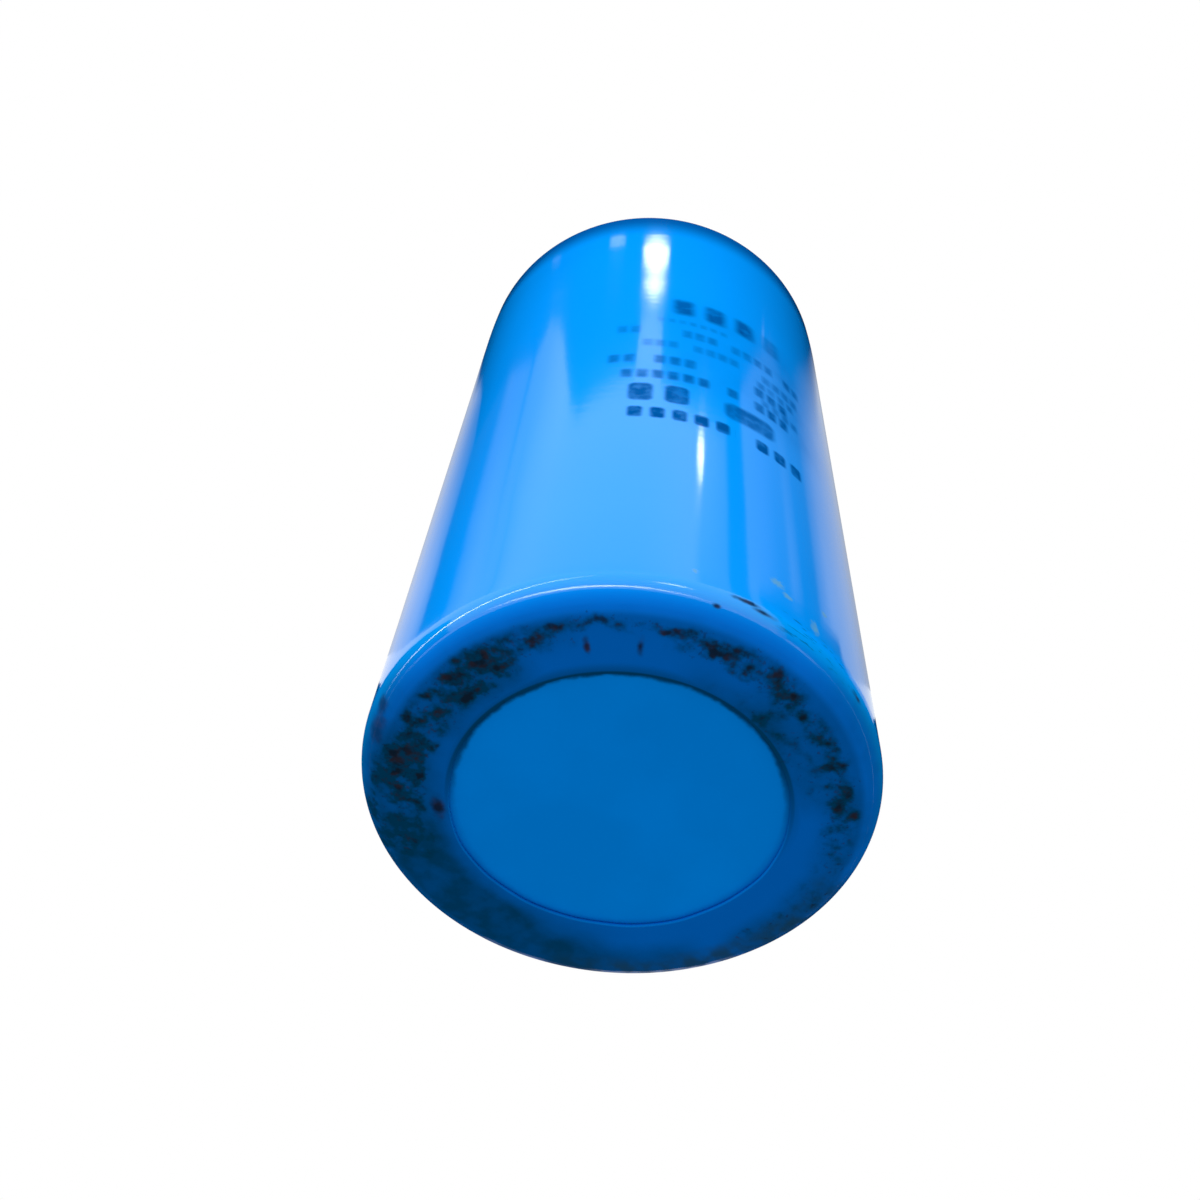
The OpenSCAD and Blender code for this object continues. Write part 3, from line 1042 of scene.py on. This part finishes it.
@dataclass
class Closure(Piece):
    """The can's rim, the deck and its rubber. Sizes are in millimetres, and bite is the rim's clearance."""

    gasket_width: float = 3.97
    gasket_edge: float = 0.35
    bite: float = 0.3
    plug_head: float = 1.0
    plug_stem_r: float = 2.0
    plug_bead_r: float = 2.6
    plug_edge: float = 0.4

    def gasket(self) -> bpy.types.Object:
        """Builds the rubber ring, whose free top swells a little inside the rim's bite.

        Returns:
            The ring.
        """
        low, high = node_span("gasket")
        inner_r = high.x - self.gasket_width
        rim_r = node_span("can")[1].x - 2 * RIM_ROLL_R - self.bite
        seam = [inner_r, (low.z + high.z) / 2]
        outline = rounded([
            seam, [inner_r, high.z + 0.02], [rim_r - 0.2, high.z + 0.08], [rim_r + 0.1, high.z - 0.02],
            [high.x, high.z - 0.02], [high.x, low.z], [inner_r, low.z], seam], self.gasket_edge)[:-1]
        return shell("gasket_ring", turned(*outline.T, 160), True)

    def plug(self) -> bpy.types.Object:
        """Builds the pressure plug: a domed head on a stem with a bead under the deck.

        Returns:
            The plug.
        """
        low, high = node_span("vent_plug")
        centre, head_r = node_disc("vent_plug")
        deck_z = node_span("deck")[0].z
        head_z = high.z - self.plug_head
        stem_r = self.plug_stem_r
        outline = rounded([
            [0.0, high.z], [head_r * 0.55, high.z], [head_r, head_z + 0.55], [head_r, head_z],
            [stem_r, head_z], [stem_r, deck_z], [self.plug_bead_r, deck_z], [stem_r, low.z],
            [0.0, low.z]], self.plug_edge)
        return shell("pressure_plug", turned(*outline.T, 72, centre), False)

    def build(self) -> None:
        """Builds and dresses the can, deck, gasket and plug."""
        aluminium = Metal("can_metal", (0.82, 0.83, 0.84), (0.55, 0.56, 0.57), 0.22)
        phenolic = Moulding(
            "deck_moulding", (0.035, 0.022, 0.015), (0.075, 0.045, 0.028), 0.42, 1.2, 0.02, share=0.6)
        rubber = Moulding("gasket_rubber", (0.022, 0.022, 0.023), (0.045, 0.045, 0.045), 0.6, 3.0, 0.01)
        self.dress(self.refined("can", "drawn_can"), aluminium.material(), aluminium.name, "can")
        self.dress(self.refined("deck", "moulded_deck", 0.25), phenolic.material(), phenolic.name, "deck")
        rubber_material = rubber.material()
        for piece, node in ((self.gasket(), "gasket"), (self.plug(), "vent_plug")):
            self.dress(piece, rubber_material, rubber.name, node)


@dataclass
class Terminals(Piece):
    """Both poles: tabs, rivets and what the rivets hold under the deck. Sizes are in millimetres."""

    tab_t: float = 0.8
    shank_r: float = 2.0
    foot_r: float = 3.0
    rivet_edge: float = 0.5

    def rivet(self, pole: Pole) -> bpy.types.Object:
        """Builds a rivet with a spun, domed head.

        Args:
            pole: The pole that it stands on.

        Returns:
            The rivet.
        """
        low, high = node_span("rivet_" + pole.word)
        centre, head_r = node_disc("rivet_" + pole.word)
        seat = node_span("terminal_" + pole.word)[0].z + self.tab_t
        washer_z = node_span("inner_washer_" + pole.word)[0].z
        rise = high.z - seat
        outline = rounded([
            [0.0, high.z - 0.12 * rise], [0.9, high.z - 0.10 * rise], [1.3, high.z],
            [0.55 * head_r, high.z], [0.92 * head_r, seat + 0.55 * rise], [head_r, seat + 0.12],
            [head_r - 0.1, seat], [self.shank_r, seat], [self.shank_r, washer_z], [self.foot_r, washer_z],
            [self.foot_r, low.z + 0.4], [self.foot_r - 0.6, low.z], [0.0, low.z]], self.rivet_edge)
        return shell("headed_rivet_" + pole.word, turned(*outline.T, 64, centre), False)

    def build(self) -> None:
        """Builds and dresses both poles."""
        tin, aluminium, washer, foil = (metal.material() for metal in (
            Metal("terminal_plating", (0.80, 0.79, 0.75), (0.58, 0.56, 0.50), 0.24, Grain.ALONG_Z),
            Metal("rivet_metal", (0.80, 0.81, 0.82), (0.52, 0.53, 0.54), 0.28),
            Metal("washer_metal", (0.70, 0.71, 0.73), (0.45, 0.46, 0.48), 0.35),
            Metal("lead_foil", (0.84, 0.85, 0.86), (0.66, 0.67, 0.68), 0.30, Grain.ALONG_Y)))
        for pole in Pole:
            tabs = self.refined("terminal_" + pole.word, "tabs_" + pole.word, 0.09)
            self.dress(tabs, tin, "terminal_plating", "terminal_" + pole.word)
            self.dress(self.rivet(pole), aluminium, "rivet_metal", "rivet_" + pole.word)
            self.dress_node("inner_washer_" + pole.word, washer)
            self.dress_node("lead_" + pole.word, foil)


@dataclass
class Element(Piece):
    """The wound element and its insulators, sealed inside the can."""

    def build(self) -> None:
        """Dresses the nodes, whose shapes stay."""
        fibre = Moulding("pad_fibre", (0.45, 0.32, 0.18), (0.60, 0.47, 0.30), 0.7, 1.6, 0.02).material()
        paper = Moulding(
            "winding_paper", (0.50, 0.37, 0.21), (0.66, 0.55, 0.38), 0.6, 2.0, 0.02, (0.2, 0.2, 1.0)
        ).material()
        tape = Moulding("tape_film", (0.72, 0.62, 0.36), (0.80, 0.72, 0.48), 0.35, 0.8, 0.005).material()
        for node, material in (
                ("base_pad", fibre), ("cap_pad", fibre), ("winding", paper), ("winding_tape", tape)):
            self.dress_node(node, material)


# Print, soil and painted shade


# Height, left end, block height, width, pitch and blur, then the words as (start, count), then the ink.
PRINT = tuple(PrintLine(*sizes, tuple(Word(*word) for word in words), ink) for *sizes, words, ink in (
    (63.6, -7.6, 4.6, 2.6, 4.1, 0.75, ((0.0, 3),), 0.8),
    (63.6, 4.7, 4.6, 2.6, 4.1, 0.75, ((0.0, 1),), 0.4),
    (59.0, -9.4, 1.0, 0.8, 1.3, 0.45, ((0.0, 7),), 0.35),
    (55.7, -14.1, 1.9, 1.1, 1.55, 0.6, ((0.0, 2), (7.75, 3), (13.95, 4), (21.7, 2)), 0.55),
    (52.0, -11.0, 1.7, 1.1, 1.5, 0.6, ((0.0, 3), (6.0, 4), (15.0, 4)), 0.45),
    (47.5, -14.8, 2.1, 1.25, 1.75, 0.5, ((0.0, 2), (5.25, 3), (17.5, 3)), 0.65),
    (43.5, -13.2, 2.1, 1.25, 1.75, 0.45, ((0.0, 6), (12.25, 1), (15.75, 3)), 0.7),
    (49.7, 3.2, 1.5, 1.0, 1.5, 0.5, ((0.0, 4),), 0.45),
    (45.5, 3.6, 1.5, 1.0, 1.5, 0.5, ((0.0, 4),), 0.45),
    (38.9, -12.2, 4.2, 2.7, 4.0, 0.35, ((0.0, 2),), 0.85),
    (38.9, -1.4, 3.8, 6.4, 7.0, 0.5, ((0.0, 1),), 0.75),
    (34.1, -12.1, 2.4, 1.6, 2.4, 0.3, ((0.0, 4), (9.9, 1), (14.4, 3)), 0.9)))

# Each row's numbers stand in the order of the attributes of Sector or Spot.
SOIL_AND_SHADE = Soil(
    sectors=tuple(Sector(*row) for row in (
        (-60.0, 24.0, 18.6, 22.4, 0.65, 0.42), (-92.0, 18.0, 18.4, 24.2, 0.40, 0.42),
        (-125.0, 24.0, 17.8, 24.8, 0.05, 0.78), (-120.0, 48.0, 15.8, 18.4, 0.00, 0.48),
        (-154.0, 20.0, 18.2, 24.0, 0.05, 0.52), (-30.0, 14.0, 20.0, 22.6, 0.60, 0.30),
        (-46.0, 16.0, 16.2, 19.4, 0.10, 0.42), (3.0, 16.0, 21.2, 22.4, 0.66, 0.10),
        (28.0, 14.0, 19.7, 22.5, 0.78, 0.25), (36.0, 17.0, 15.5, 18.0, 0.10, 0.45),
        (60.0, 20.0, 16.0, 21.4, 0.20, 0.42), (64.0, 18.0, 19.8, 22.2, 0.48, 0.08),
        (92.0, 13.0, 19.6, 22.6, 0.50, 0.34), (126.0, 16.0, 20.0, 24.4, 0.36, 0.50),
        (178.0, 20.0, 19.2, 24.2, 0.08, 0.50), (140.0, 50.0, 15.8, 24.4, 0.00, 0.05),
        (-78.0, 20.0, 22.6, 25.2, 0.00, 0.40), (76.0, 26.0, 22.4, 25.2, 0.00, 0.42))),
    spots=tuple(Spot(*row) for row in (
        (-93.5, 17.1, 0.0, 1.4, 0.62), (-10.9, 19.5, 0.0, 0.3, 0.9), (2.6, 19.6, 0.0, 0.35, 0.8),
        (23.0, 24.95, 3.0, 1.3, 0.28), (27.0, 24.9, 2.6, 1.1, 0.30), (17.0, 24.4, 1.5, 0.4, 0.22),
        (56.0, 24.7, 2.4, 0.8, 0.25), (-72.0, 23.8, 0.9, 1.5, 0.8, 0.6), (-66.0, 24.2, 1.3, 1.0, 0.6, 0.7))),
    stains=tuple(Spot(*row) for row in (
        (31.0, 24.95, 8.6, 0.7, 0.6), (33.5, 24.95, 7.4, 0.5, 0.4), (41.0, 24.95, 5.6, 0.5, 0.9),
        (45.0, 24.95, 9.6, 0.4, 0.4), (12.0, 24.95, 5.0, 0.3, 0.3))))


# Studio


@dataclass(frozen=True)
class Curve:
    """A value that changes with the heading: (heading, value) pairs, straight between them."""

    points: tuple[tuple[float, float], ...]

    def at(self, heading: np.ndarray) -> np.ndarray:
        """The values at those headings, in degrees."""
        where, value = np.transpose(self.points)
        return np.interp(heading, where, value, period=360.0)


@dataclass(frozen=True)
class Glint:
    """A thin bright strip low in front, which the film's lower corner reflects.

    Attributes:
        start: Heading of its one end, in degrees.
        stop: Heading of its other end.
        low: Elevation of its one end, in degrees as seen from the base.
        high: Elevation of its other end.
        thick: Its thickness, in degrees.
        glow: Its brightness in the middle.
    """

    start: float
    stop: float
    low: float
    high: float
    thick: float
    glow: float


@dataclass(frozen=True)
class Lamp:
    """A small bright lamp that only reflections see.

    Attributes:
        heading: Degrees from the camera's heading, to the right.
        elevation: Degrees above the horizon, as seen from the part.
        across: Its size round the part, in metres.
        deep: Its size away from the part, in metres.
        glow: Its brightness.
        taper: How much narrower its far end is, from 0 to 1.
    """

    heading: float
    elevation: float
    across: float
    deep: float
    glow: float
    taper: float


@dataclass(frozen=True)
class SoftLight:
    """A broad, square lamp that lights the part, with its side in metres and its power in watts."""

    name: str
    heading: float
    elevation: float
    size: float
    watts: float


@dataclass
class Studio:
    """Camera, soft light, floor and the cards that the glossy film reflects.

    Lengths are in metres unless their names say mm, and angles are in degrees. Headings count from the
    camera's, to the right, and elevations from part_middle.

    Attributes:
        flag_height: Height of the ceiling, which ends near ceiling_foot. Lamps hang lamp_drop under it.
        ceiling_band: Elevations between which the ceiling's glow goes from low to high.
        roof_edge: How far under the roof the ceiling's rows start.
        ambient: Brightness of the surround's light on surfaces.
        floor_lift: The floor's own glow.
        tray_r: Distance of the dark walls.
        mat_r: Radius of the dark mat where there is no wall and where there is one.
        roof: Elevation above which the ceiling is dark. It fades in under it over fade degrees.
        tray: Elevation up to which a dark wall stands, or 0.
    """

    camera_elevation: float = -46.18
    camera_distance: float = 0.12581
    camera_aim: tuple[float, float, float] = (-0.0036, 0.0013, 0.0345)
    camera_roll: float = 6.13
    lens_mm: float = 39.51
    sensor_mm: float = 36.0
    part_middle: float = 0.05
    flag_height: float = 0.9
    ceiling_band: tuple[float, float] = (53.0, 62.0)
    ceiling_foot: float = 50.0
    roof_edge: float = 0.35
    ambient: float = 0.6
    floor_reach: float = 4.0
    floor_grey: Colour = (0.82, 0.82, 0.82)
    floor_lift: float = 0.22
    floor_z: float = -0.0001
    lamp_drop: float = 0.01
    tray_r: float = 0.5
    glint_r: float = 0.49
    mat_r: tuple[float, float] = (0.037, 0.085)
    mat_z: float = -0.00005
    light_r: float = 0.9

    roof: Curve = Curve((
        (-180, 66.2), (-163, 65.8), (-150, 64.9), (-142, 63.9), (-133, 63.6), (-122, 62.6), (-113, 60.0),
        (-97, 63.5), (-84, 64.0), (-76, 64.2), (-72, 65.4), (-70, 66.1), (-63, 66.0), (-57, 65.2),
        (-44, 62.0), (-39, 61.6), (-32, 62.4), (-16, 63.5), (-9.0, 63.8), (-7.5, 66.4), (5.5, 66.4),
        (7.0, 63.5), (23, 62.2), (44, 61.2), (57, 63.4), (68, 64.8), (82, 65.7), (91, 64.2), (101, 64.4),
        (112, 65.1), (122, 65.3), (132, 65.8), (143, 66.5), (155, 67.0)))
    fade: Curve = Curve((
        (-170, 0.35), (-155, 1.2), (-140, 1.2), (-126, 0.35), (94, 0.35), (102, 2.0), (112, 3.6),
        (126, 3.8), (143, 2.6), (158, 1.6)))
    high: Curve = Curve((
        (-180, 0.50), (-150, 0.52), (-142, 0.55), (-133, 0.42), (-122, 0.13), (-115, 0.03), (-97, 0.03),
        (-92, 0.20), (-78, 0.24), (-77, 0.07), (-76, 0.07), (-75, 0.30), (-66, 0.42), (-57, 0.68),
        (-50, 0.86), (25, 0.95), (34, 0.75), (44, 0.35), (46, 0.0), (54.5, 0.0), (56, 0.32), (70, 0.22),
        (84, 0.13), (88, 0.10), (99, 0.08), (112, 0.36), (122, 0.52), (143, 0.62), (152, 0.48)))
    low: Curve = Curve((
        (-180, 0.45), (-150, 0.66), (-143, 0.74), (-133, 0.70), (-122, 0.58), (-114.5, 0.30),
        (-113.5, 0.0), (-97, 0.0), (-94, 0.18), (-84, 0.50), (-70, 0.50), (-69, 0.28), (-68, 0.52),
        (-62, 0.80), (-55, 0.90), (-30, 0.82), (0, 0.80), (18, 0.98), (27, 0.98), (31, 0.45), (44, 0.36),
        (45.5, 0.02), (54.5, 0.02), (56, 0.45), (66, 0.30), (74, 0.12), (79, 0.12), (82, 0.38),
        (86, 0.20), (88.5, 0.02), (98.5, 0.04), (101, 0.30), (110, 0.64), (130, 0.66), (150, 0.48)))
    tray: Curve = Curve((
        (-180, 0), (-166, 0), (-165, 48), (-143, 47), (-133, 44), (-112, 42), (-90, 36), (-72, 28),
        (-68, 0), (56, 0), (60, 53), (74, 53), (112, 50.8), (118, 46), (133, 44), (143, 47), (165, 48),
        (166, 0)))
    lamps: tuple[Lamp, ...] = (
        Lamp(-1.0, 68.6, 0.150, 0.048, 9.0, 0.6), Lamp(30.3, 59.75, 0.040, 0.046, 12.0, 0.3),
        Lamp(-29.7, 69.95, 0.070, 0.012, 1.9, 0.0), Lamp(-78.0, 69.2, 0.05, 0.010, 0.3, 0.0),
        Lamp(77.0, 66.0, 0.016, 0.007, 0.6, 0.0))
    glints: tuple[Glint, ...] = (
        Glint(-105.0, -10.0, 13.0, 36.0, 2.2, 15.0), Glint(-56.0, 34.0, 3.6, -1.0, 5.0, 13.0),
        Glint(6.0, 22.0, 23.0, 22.0, 3.0, 12.0))
    soft_lights: tuple[SoftLight, ...] = (
        SoftLight("key_light", -12.0, 30.0, 0.7, 9.5), SoftLight("back_light", 165.0, 50.0, 0.8, 3.2))

    def outward(self, heading: float, elevation: float = 0.0) -> Vector:
        """Direction at a heading from the camera's, to the right, and an elevation, both in degrees."""
        a, e = math.radians(HEADING + heading), math.radians(elevation)
        return Vector((math.sin(a), -math.cos(a), 0.0)) * math.cos(e) + Vector((0, 0, math.sin(e)))

    def polar(self, heading: np.ndarray, distance: Numbers, height: Numbers) -> np.ndarray:
        """Points at a heading in degrees, a level distance and a height, in metres."""
        a = np.radians(HEADING + heading)
        return np.stack(np.broadcast_arrays(distance * np.sin(a), -distance * np.cos(a), height), axis=-1)

    def camera(self) -> None:
        """Sets the camera below the base, where the printed side and the base both show."""
        place = self.outward(0.0, self.camera_elevation) * self.camera_distance
        data = bpy.data.cameras.new("camera")
        data.lens = self.lens_mm
        data.sensor_width = self.sensor_mm
        data.clip_start = 0.001
        made = add_object("camera", data)
        facing = (place - Vector(self.camera_aim)).to_track_quat("Z", "Y").to_matrix().to_4x4()
        roll = Matrix.Rotation(math.radians(self.camera_roll), 4, "Z")
        made.matrix_world = Matrix.Translation(place) @ facing @ roll
        bpy.context.scene.camera = made

    def card(self, name: str, grid: np.ndarray, glow: Numbers) -> None:
        """Adds an open sheet that only reflections see.

        Args:
            name: Name of the sheet.
            grid: Its points, of shape (rows, columns, 3), in metres.
            glow: Its brightness, all over or at each point.
        """
        mesh = grid_mesh(name, grid, False, False)
        at_points = np.broadcast_to(glow, grid.shape[:2]).astype(np.float32)
        mesh.attributes.new("glow", "FLOAT", "POINT").data.foreach_set("value", at_points.reshape(-1))
        shader = Shader.of(name)
        read = shader.node("ShaderNodeAttribute", {"attribute_name": "glow"}, output="Fac")
        mesh.materials.append(shader.done(shader.node("ShaderNodeEmission", inputs={"Strength": read})))
        made = add_object(name, mesh)
        for ray in ("camera", "diffuse", "transmission", "volume_scatter", "shadow"):
            setattr(made, "visible_" + ray, False)

    def ceiling(self) -> None:
        """Hangs the sheet overhead that gives the film its long reflections.

        It is dark above the roof's elevation and fades in under it. Down its band the glow goes from high
        to low. Elevations are as seen from the middle of the part.
        """
        heading = np.linspace(-180.0, 180.0, 1081)[None, :]
        roof = self.roof.at(heading)
        steps = np.linspace(0.0, 1.0, 26)[:, None]
        under = roof - self.roof_edge - (roof - self.ceiling_foot) * steps
        elevation = np.concatenate([90 - (90 - roof) * steps[::5], under])
        foot, top = self.ceiling_band
        share = np.clip((elevation - foot) / (top - foot), 0.0, 1.0)
        glow = self.low.at(heading) * (1 - share) + self.high.at(heading) * share
        glow = glow * np.clip((roof - elevation) / self.fade.at(heading), 0.0, 1.0)
        reach = (self.flag_height - self.part_middle) / np.tan(np.radians(elevation))
        self.card("ceiling", self.polar(heading, reach, self.flag_height), glow)

    def table(self) -> None:
        """Lays a small dark mat under the part, and stands dark walls round it up to the tray."""
        heading = np.linspace(-180.0, 180.0, 361)[None, :]
        tray = self.tray.at(heading)
        share = np.array([0.0, 1.0])[:, None]
        bare, walled = self.mat_r
        reach = np.where(tray > 0, walled, bare)
        self.card("dark_mat", self.polar(heading, reach * share, self.mat_z), 0.0)
        top = (self.part_middle + self.tray_r * np.tan(np.radians(tray))) * np.clip(tray, 0.0, 1.0)
        self.card("dark_wall", self.polar(heading, self.tray_r, top * share), 0.0)

    def hang_lamps(self) -> None:
        """Hangs the small lamps as ellipses just under the ceiling."""
        turn = np.linspace(0.0, FULL_TURN, 33)[None, :]
        share, glow = (np.array(part)[:, None] for part in ((0.0, 0.75, 1.0), (1.0, 1.0, 0.3)))
        height = self.flag_height - self.lamp_drop
        for number, lamp in enumerate(self.lamps, 1):
            distance = (height - self.part_middle) / math.tan(math.radians(lamp.elevation))
            out = np.array(self.outward(lamp.heading))
            side = np.array([-out[1], out[0], 0.0])
            wide = lamp.across / 2 * (1 - lamp.taper * (1 + np.cos(turn)) / 2)
            grid = (out * distance + (share * np.cos(turn))[..., None] * out * lamp.deep / 2
                    + (share * np.sin(turn) * wide)[..., None] * side + [0.0, 0.0, height])
            self.card(f"lamp_{number}", grid, lamp.glow * glow)

    def stand_glints(self) -> None:
        """Stands the glints in front, each as a band that thins out towards its ends."""
        share = np.linspace(0.0, 1.0, 61)
        taper = np.sin(np.pi * share)[None, :] ** 0.7
        way = np.array([-0.5, 0.5])[:, None]
        for number, glint in enumerate(self.glints, 1):
            heading = np.linspace(glint.start, glint.stop, len(share))[None, :]
            elevation = np.linspace(glint.low, glint.high, len(share)) + way * glint.thick * taper
            level = self.glint_r * np.tan(np.radians(elevation))
            self.card(f"glint_{number}", self.polar(heading, self.glint_r, level), glint.glow * taper)

    def light(self) -> None:
        """Adds the broad lamps that light the part."""
        for lamp in self.soft_lights:
            data = bpy.data.lights.new(lamp.name, "AREA")
            data.size = lamp.size
            data.energy = lamp.watts
            made = add_object(lamp.name, data)
            out = self.outward(lamp.heading, lamp.elevation)
            made.location = out * self.light_r + Vector((0, 0, self.part_middle))
            made.rotation_euler = out.to_track_quat("Z", "Y").to_euler()
            made.visible_glossy = False
            made.visible_camera = False

    def world(self) -> None:
        """A white surround for the camera and reflections, and a level one for the light on surfaces."""
        shader = Shader(bpy.data.worlds.new("surround"))
        camera, *others = (shader.node("ShaderNodeLightPath", output=f"Is {ray} Ray")
                           for ray in ("Camera", "Glossy", "Transmission"))
        level, white = (shader.node("ShaderNodeBackground", inputs={"Color": WHITE, "Strength": strength})
                        for strength in (self.ambient, 1.0))
        bpy.context.scene.world = shader.done(shader.blend(camera.most(*others), level, white))

    def floor(self) -> None:
        """A pale floor that shows only from above, so that the base can be seen from below."""
        shader = Shader.of("pale_floor")
        paint = shader.node("ShaderNodeBsdfDiffuse", inputs={"Color": (*self.floor_grey, 1.0)})
        lift = shader.node("ShaderNodeEmission", inputs={"Strength": self.floor_lift})
        lit = shader.node("ShaderNodeAddShader", inputs={0: paint, 1: lift})
        clear = shader.node("ShaderNodeBsdfTransparent")
        behind = shader.node("ShaderNodeNewGeometry", output="Backfacing")
        material = shader.done(shader.blend(behind, lit, clear))
        material.cycles.emission_sampling = "NONE"
        ends = (-self.floor_reach, self.floor_reach)
        grid = np.array([[(x, y, self.floor_z) for x in ends] for y in ends])
        mesh = grid_mesh("floor", grid, False, False)
        mesh.materials.append(material)
        made = add_object("floor", mesh)
        made.visible_shadow = False
        made.visible_diffuse = False

    def build(self) -> None:
        """Builds the studio."""
        for step in (self.camera, self.world, self.floor, self.ceiling, self.table, self.hang_lamps,
                     self.stand_glints, self.light):
            step()
        bpy.context.scene.view_settings.view_transform = "Standard"
        LOG.info("studio ready")


def main() -> None:
    """Builds the studio and each sub-assembly."""
    logging.basicConfig(level=logging.INFO, format="%(name)s: %(message)s")
    Studio().build()
    for assembly in (Jacket(), Closure(), Terminals(), Element()):
        assembly.build()
        LOG.info("%s: %d pieces", type(assembly).__name__, len(assembly.made))


if __name__ == "__main__":
    main()
